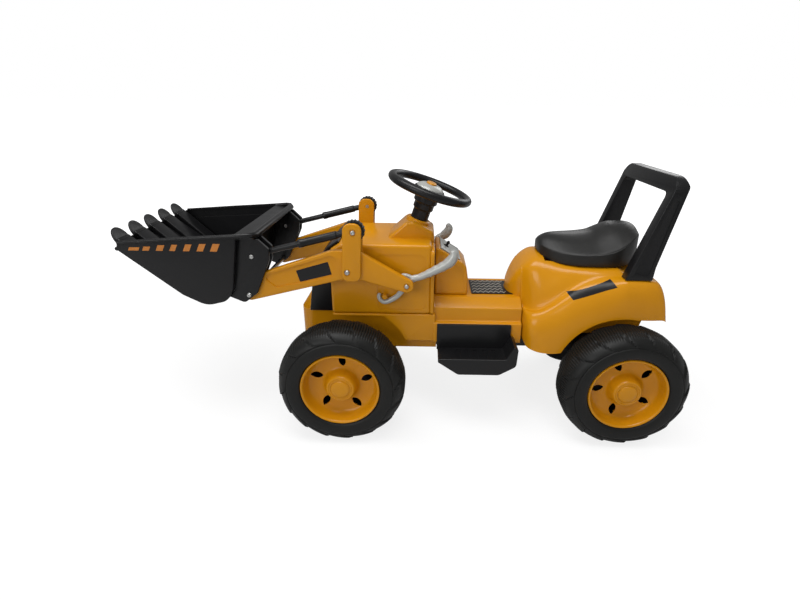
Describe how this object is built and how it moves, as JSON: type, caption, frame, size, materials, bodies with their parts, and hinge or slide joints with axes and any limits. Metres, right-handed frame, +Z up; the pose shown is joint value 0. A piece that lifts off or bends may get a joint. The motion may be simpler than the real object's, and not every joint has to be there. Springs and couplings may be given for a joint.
{
  "type": "kids electric ride-on loader",
  "caption": "Child's electric ride-on toy tractor with a front loader bucket on lever-worked arms, a steering wheel, a saddle seat with a backrest bar and chunky wheels.",
  "frame": {"origin": "middle of the footprint on the ground, under the toy", "axes": "nose and bucket towards -X, driver's left towards -Y, +Z up"},
  "size_m": [1.152, 0.392, 0.552],
  "materials": {
    "yellow_plastic": "glossy moulded yellow-orange",
    "black_plastic": "satin black",
    "frame_black": "black paint",
    "tyre_black": "black, ribbed",
    "grey_plastic": "grey",
    "silver_plastic": "silver grey",
    "steel": "zinc plated"
  },
  "bodies": {
    "chassis": {"underframe": "frame_black", "lower_body": "yellow_plastic", "hood": "yellow_plastic", "grille": "black_plastic", "dash_console": "yellow_plastic", "dash_panel": "grey_plastic", "rear_body": "yellow_plastic", "step_plate": "black_plastic", "footrest_left": "black_plastic", "footrest_right": "black_plastic", "backrest_bar": "black_plastic", "upright_left": "yellow_plastic", "upright_right": "yellow_plastic", "boom_shaft": "steel", "rod_bolt_left": "steel", "rod_bolt_right": "steel", "column_sleeve": "black_plastic", "battery": "frame_black", "motor": "steel", "gearbox": "black_plastic", "rear_axle": "steel", "front_axle": "frame_black", "seat_hinge_pin": "steel"},
    "steering": {"steering_wheel": "black_plastic", "hub_cover": "grey_plastic", "steering_shaft": "steel"},
    "horn": {"horn_button": "yellow_plastic"},
    "knuckle_left": {"knuckle_left": "frame_black"},
    "knuckle_right": {"knuckle_right": "frame_black"},
    "tie_rod": {"tie_rod": "steel"},
    "boom": {"arm_left": "yellow_plastic", "arm_right": "yellow_plastic", "bucket_shaft": "steel", "lever_bolt_left": "steel", "lever_bolt_right": "steel"},
    "bucket": {"bucket": "black_plastic", "link_bolt_left": "steel", "link_bolt_right": "steel"},
    "rod_left": {"rod_sleeve_left": "black_plastic", "rod_inner_left": "black_plastic"},
    "rod_right": {"rod_sleeve_right": "black_plastic", "rod_inner_right": "black_plastic"},
    "lever_left": {"lever_left": "silver_plastic"},
    "lever_right": {"lever_right": "silver_plastic"},
    "seat": {"seat": "black_plastic"},
    "pedal": {"pedal": "black_plastic"},
    "direction_switch": {"direction_switch": "black_plastic"},
    "wheel_front_left": {"tyre_front_left": "tyre_black", "rim_front_left": "yellow_plastic", "hub_cap_front_left": "yellow_plastic"},
    "wheel_front_right": {"tyre_front_right": "tyre_black", "rim_front_right": "yellow_plastic", "hub_cap_front_right": "yellow_plastic"},
    "wheel_rear_left": {"tyre_rear_left": "tyre_black", "rim_rear_left": "yellow_plastic", "hub_cap_rear_left": "yellow_plastic"},
    "wheel_rear_right": {"tyre_rear_right": "tyre_black", "rim_rear_right": "yellow_plastic", "hub_cap_rear_right": "yellow_plastic"}
  },
  "joints": [
    {"name": "steering_turn", "type": "hinge", "parent": "chassis", "child": "steering", "pos_m": [0.045, 0, 0.505], "axis": [0.3256, 0, 0.9455], "range_deg": [-25, 25]},
    {"name": "horn_press", "type": "slide", "parent": "steering", "child": "horn", "axis": [-0.3256, 0, -0.9455], "range_m": [0, 0.003], "stiffness_N_per_m": 400, "springref_m": -0.001},
    {"name": "knuckle_left_turn", "type": "hinge", "parent": "chassis", "child": "knuckle_left", "pos_m": [-0.131, -0.092, 0.13], "axis": [0, 0, 1], "range_deg": [-18, 18]},
    {"name": "knuckle_right_turn", "type": "hinge", "parent": "chassis", "child": "knuckle_right", "pos_m": [-0.131, 0.092, 0.13], "axis": [0, 0, 1], "range_deg": [-18, 18]},
    {"name": "tie_rod_slide", "type": "slide", "parent": "chassis", "child": "tie_rod", "axis": [0, 1, 0], "range_m": [-0.0135, 0.0135]},
    {"name": "boom_lift", "type": "hinge", "parent": "chassis", "child": "boom", "pos_m": [-0.117, 0, 0.358], "axis": [0, 1, 0], "range_deg": [0, 20]},
    {"name": "bucket_tilt", "type": "hinge", "parent": "boom", "child": "bucket", "pos_m": [-0.316, 0, 0.307], "axis": [0, 1, 0], "range_deg": [-20, 0]},
    {"name": "rod_left_swing", "type": "hinge", "parent": "chassis", "child": "rod_left", "pos_m": [-0.103, -0.112, 0.44], "axis": [0, 1, 0], "range_deg": [0, 20]},
    {"name": "rod_right_swing", "type": "hinge", "parent": "chassis", "child": "rod_right", "pos_m": [-0.103, 0.112, 0.44], "axis": [0, 1, 0], "range_deg": [0, 20]},
    {"name": "lever_left_pull", "type": "hinge", "parent": "boom", "child": "lever_left", "pos_m": [0, -0.097, 0.327], "axis": [0, 1, 0], "range_deg": [0, 18]},
    {"name": "lever_right_pull", "type": "hinge", "parent": "boom", "child": "lever_right", "pos_m": [0, 0.097, 0.327], "axis": [0, 1, 0], "range_deg": [0, 18]},
    {"name": "seat_lift", "type": "hinge", "parent": "chassis", "child": "seat", "pos_m": [0.484, 0, 0.352], "axis": [0, 1, 0], "range_deg": [0, 65]},
    {"name": "pedal_press", "type": "hinge", "parent": "chassis", "child": "pedal", "pos_m": [0.154, 0.118, 0.18], "axis": [0, -1, 0], "range_deg": [0, 9], "stiffness_Nm_per_rad": 0.5, "springref_deg": -5.73},
    {"name": "switch_rock", "type": "hinge", "parent": "chassis", "child": "direction_switch", "pos_m": [0.07866, 0, 0.37027], "axis": [0, 1, 0], "range_deg": [-12, 12]},
    {"name": "front_left_spin", "type": "hinge", "parent": "knuckle_left", "child": "wheel_front_left", "pos_m": [-0.131, -0.153, 0.13], "axis": [0, 1, 0], "continuous": true},
    {"name": "front_right_spin", "type": "hinge", "parent": "knuckle_right", "child": "wheel_front_right", "pos_m": [-0.131, 0.153, 0.13], "axis": [0, 1, 0], "continuous": true},
    {"name": "rear_left_spin", "type": "hinge", "parent": "chassis", "child": "wheel_rear_left", "pos_m": [0.446, -0.153, 0.13], "axis": [0, 1, 0], "continuous": true},
    {"name": "rear_right_spin", "type": "hinge", "parent": "chassis", "child": "wheel_rear_right", "pos_m": [0.446, 0.153, 0.13], "axis": [0, 1, 0], "continuous": true}
  ],
  "couplings": [
    {"joint": "knuckle_left_turn", "follows": "steering_turn", "ratio": 0.714},
    {"joint": "knuckle_right_turn", "follows": "steering_turn", "ratio": 0.714},
    {"joint": "tie_rod_slide", "follows": "steering_turn", "m_per_rad": 0.0295},
    {"joint": "bucket_tilt", "follows": "boom_lift", "ratio": -1},
    {"joint": "rod_left_swing", "follows": "boom_lift", "ratio": 1},
    {"joint": "rod_right_swing", "follows": "boom_lift", "ratio": 1},
    {"joint": "lever_left_pull", "follows": "boom_lift", "ratio": 0.9},
    {"joint": "lever_right_pull", "follows": "boom_lift", "ratio": 0.9}
  ]
}
